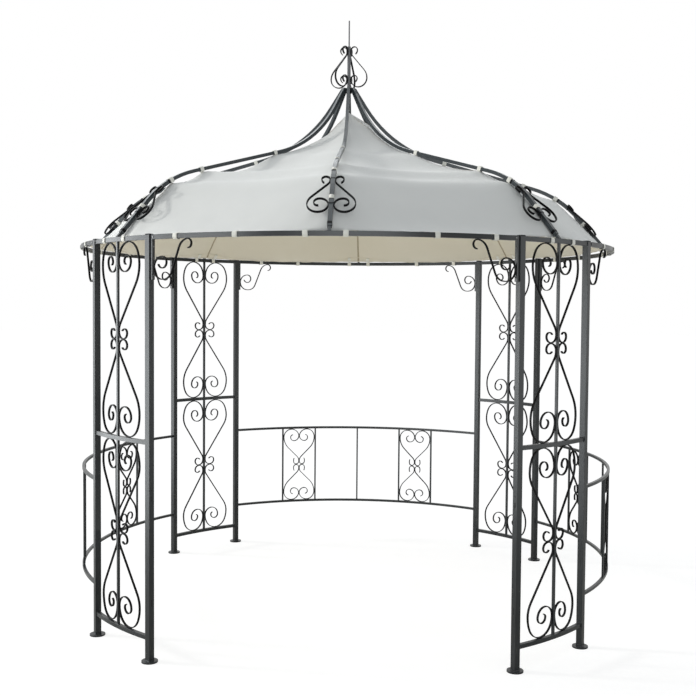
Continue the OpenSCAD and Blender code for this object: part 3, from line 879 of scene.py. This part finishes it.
# (height, half width) of a leg's cap and of the weld bead at its foot, and
# (height, radius) of a bolt's head
LEG_CAP = [
    (-0.0005, HALF_LEG - 0.001), (0.0, HALF_LEG + 0.0003), (0.0030, HALF_LEG + 0.0003),
    (0.0045, HALF_LEG - 0.0016), (0.0052, HALF_LEG - 0.006),
]
FOOT_BEAD = [
    (0.0, HALF_LEG + 0.0034), (0.0012, HALF_LEG + 0.0028),
    (0.0026, HALF_LEG + 0.0012), (0.0034, HALF_LEG - 0.0004),
]
BOLT_HEAD = [
    (-0.0005, 0.0052), (0.0008, 0.0052), (0.0026, 0.0044), (0.0034, 0.0026), (0.0036, 0.0008),
]
# Height at which the weld beads start, just inside the foot plates
BEAD_Z = 0.0079
# From a leg's side to the bolt heads on the bolted bar, and the heights of those
BAR_OUT, BAR_BOLTS = 0.0144, (1.955, 1.822)
# Near-black sleeves round each rib, for the most part painted shade: the shadows below the straps
# and the dark gaps where tubes and scrolls meet; start, end, and half width
SLEEVES_AND_SHADE_BANDS = (
    (FOOT_R - 0.0005, FOOT_R + 0.0055, 0.0112), (1.2620, 1.2685, 0.0108),
    (1.3600, 1.3645, 0.0113), (1.3800, 1.3850, 0.0123), (1.4560, 1.4655, 0.0112),
)
GREY_SLEEVE = 1.3640, 1.3860, 0.0117
# Holes in the legs beside the front opening, drawn as thin discs of painted shade: height, radius,
# and length of a slot
LEG_HOLES = ((0.8165, 0.0036, None), (0.7770, 0.0032, 0.018), (0.2830, 0.0032, 0.026))


def build_fittings():
    """Collars, caps, bolt heads, bolt holes and weld beads of the frame; most of the dark collars
    and all of the holes are painted shade.
    """
    dark, grey, bolts, holes, beads = (Solids() for _ in range(5))
    leg_top = float(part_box("leg_panel_front_left")[1][2])
    for bearing in RIBS:
        rib_sleeve(grey, bearing, *GREY_SLEEVE)
        for sleeve in SLEEVES_AND_SHADE_BANDS:
            rib_sleeve(dark, bearing, *sleeve)
    for bearing, turn in LEGS:
        d, t = direction(bearing), sideways(bearing)
        foot = d * RING_R
        dark.stack(foot + UP * leg_top, d, t, UP, LEG_CAP, lambda s: square_loop(s, 0.003))
        beads.stack(foot + UP * BEAD_Z, d, t, UP, FOOT_BEAD, lambda s: square_loop(s, 0.004))
        # Bolt through each end of a ring beam, and two through each bolted bar
        inward = -turn
        end = bearing + inward * math.degrees(0.0375 / RING_R)
        e, f = direction(end), sideways(end)
        outside = e * (RING_R + RING_T / 2) + UP * RING_Z
        bolts.stack(outside, f, UP, e, BOLT_HEAD, round_loop)
        small = [(h, s * 0.8) for h, s in BOLT_HEAD]
        for z in BAR_BOLTS:
            face = foot + t * inward * (HALF_LEG + BAR_OUT) + UP * z
            bolts.stack(face, d, UP, t * inward, small, round_loop)
        if abs(math.sin(math.radians(bearing))) < 0.7 and math.cos(math.radians(bearing)) > 0:
            side = foot + t * inward * HALF_LEG
            thin = [(-0.0004, 1.0), (0.00035, 1.0)]
            for z, radius, slot in LEG_HOLES:
                shape = slot_loop(radius, slot) if slot else round_loop(radius)
                holes.stack(side + UP * z, d, UP, t * inward, thin, lambda s, shape=shape: shape)
    # Leg caps, and the near-black rib sleeves that stand for shadows and dark gaps
    dark.finish("caps_and_shade_collars", scroll_paint, "scroll_paint")
    grey.finish("rib_sleeves", rib_paint_sky_reflection, "frame_paint")
    bolts.finish("bolt_heads", bolt_metal, "frame_paint")
    holes.finish("bolt_holes", hole_painted_shade, "scroll_paint")
    beads.finish("weld_beads", frame_paint, "frame_paint")


build_peak_cord()
build_fittings()


# ---- Stage, light and world ----

def stage_plane():
    """Floor: pale to the light it returns, near white with the shadow to the camera."""
    size = 60
    corners = [(-size, -size, 0), (size, -size, 0), (size, size, 0), (-size, size, 0)]
    mesh = make_mesh("floor", corners, [(0, 1, 2, 3)], [], False)
    m, tree, shader = new_material("floor")
    out = tree.nodes[0]
    tree.nodes.remove(shader)
    diffuse = tree.nodes.new("ShaderNodeBsdfDiffuse")
    diffuse.inputs[0].default_value = (0.78, 0.77, 0.74, 1)
    shown_diffuse = tree.nodes.new("ShaderNodeBsdfDiffuse")
    shown_diffuse.inputs[0].default_value = (0.36, 0.36, 0.36, 1)
    glow = tree.nodes.new("ShaderNodeEmission")
    glow.inputs[1].default_value = 0.76
    add = tree.nodes.new("ShaderNodeAddShader")
    tree.links.new(shown_diffuse.outputs[0], add.inputs[0])
    tree.links.new(glow.outputs[0], add.inputs[1])
    path = tree.nodes.new("ShaderNodeLightPath")
    seen = node(tree, "ShaderNodeMath", operation="MAXIMUM")
    tree.links.new(path.outputs["Is Camera Ray"], seen.inputs[0])
    tree.links.new(path.outputs["Is Transmission Ray"], seen.inputs[1])
    mix = tree.nodes.new("ShaderNodeMixShader")
    tree.links.new(seen.outputs[0], mix.inputs[0])
    tree.links.new(diffuse.outputs[0], mix.inputs[1])
    tree.links.new(add.outputs[0], mix.inputs[2])
    tree.links.new(mix.outputs[0], out.inputs[0])
    mesh.materials.append(m)
    o = bpy.data.objects.new("floor", mesh)
    scene.collection.objects.link(o)


stage_plane()

world = bpy.data.worlds.new("world")
scene.world = world
world.use_nodes = True
tree = world.node_tree
background = [n for n in tree.nodes if n.type == "BACKGROUND"][0]
background.inputs[0].default_value = (0.93, 0.97, 1.0, 1)
background.inputs[1].default_value = 0.58
white = tree.nodes.new("ShaderNodeBackground")
white.inputs[0].default_value = (1, 1, 1, 1)
white.inputs[1].default_value = 1.0
path = tree.nodes.new("ShaderNodeLightPath")
seen = node(tree, "ShaderNodeMath", operation="MAXIMUM")
tree.links.new(path.outputs["Is Camera Ray"], seen.inputs[0])
tree.links.new(path.outputs["Is Glossy Ray"], seen.inputs[1])
seen2 = node(tree, "ShaderNodeMath", operation="MAXIMUM")
tree.links.new(seen.outputs[0], seen2.inputs[0])
tree.links.new(path.outputs["Is Transmission Ray"], seen2.inputs[1])
mix = tree.nodes.new("ShaderNodeMixShader")
out = [n for n in tree.nodes if n.type == "OUTPUT_WORLD"][0]
tree.links.new(seen2.outputs[0], mix.inputs[0])
tree.links.new(background.outputs[0], mix.inputs[1])
tree.links.new(white.outputs[0], mix.inputs[2])
tree.links.new(mix.outputs[0], out.inputs[0])


def sun(name, toward, strength, angle, colour):
    data = bpy.data.lights.new(name, "SUN")
    data.energy = strength
    data.angle = math.radians(angle)
    data.color = colour
    o = bpy.data.objects.new(name, data)
    o.rotation_euler = Vector(toward).to_track_quat("-Z", "Y").to_euler()
    o.visible_glossy = False
    scene.collection.objects.link(o)


def softbox(name, place, aim, width, height, radiance, colour, diffuse=True, glossy=True):
    data = bpy.data.lights.new(name, "AREA")
    data.shape = "RECTANGLE"
    data.size, data.size_y = width, height
    data.energy = radiance * math.pi * width * height
    data.color = colour
    o = bpy.data.objects.new(name, data)
    o.location = place
    o.rotation_euler = (Vector(aim) - Vector(place)).to_track_quat("-Z", "Y").to_euler()
    o.visible_camera = False
    o.visible_diffuse = diffuse
    o.visible_glossy = glossy
    scene.collection.objects.link(o)


sun("key", (0.93, -0.10, -0.36), 1.35, 6, (1.0, 0.985, 0.95))
for k, b in enumerate((262, 292)):
    x, y = direction(b)[:2] * 7.0
    softbox("side_%d" % k, (x, y, 3.1), (0, 0, 2.3), 3.4, 1.7, 4.2, (0.97, 0.99, 1.0), glossy=False)
# Panels that only the paint mirrors: bearing, distance, height, width, radiance
COOL = (0.94, 0.98, 1.0)
for k, (b, far, z, wide, strength) in enumerate((
        (270, 4.2, 1.35, 1.6, 6.0), (291, 4.2, 1.35, 1.6, 6.0), (317, 4.2, 1.35, 1.9, 6.5),
        (5, 4.6, 2.0, 2.6, 3.6), (72, 4.2, 1.35, 2.2, 1.4))):
    x, y = direction(b)[:2] * far
    softbox("mirror_%d" % k, (x, y, z), (0, 0, z), wide, 2.5, strength, COOL, diffuse=False)
softbox("mirror_top", (-0.5, 1.5, 6.0), (0, 0, 2.2), 7.0, 7.0, 2.0, COOL, diffuse=False)
softbox(
    "bounce", (-0.8, -0.4, 0.30), (-1.05, 0.8, 2.2), 1.4, 1.4, 0.8, (1.0, 0.97, 0.90), glossy=False
)

scene.view_settings.view_transform = "Standard"
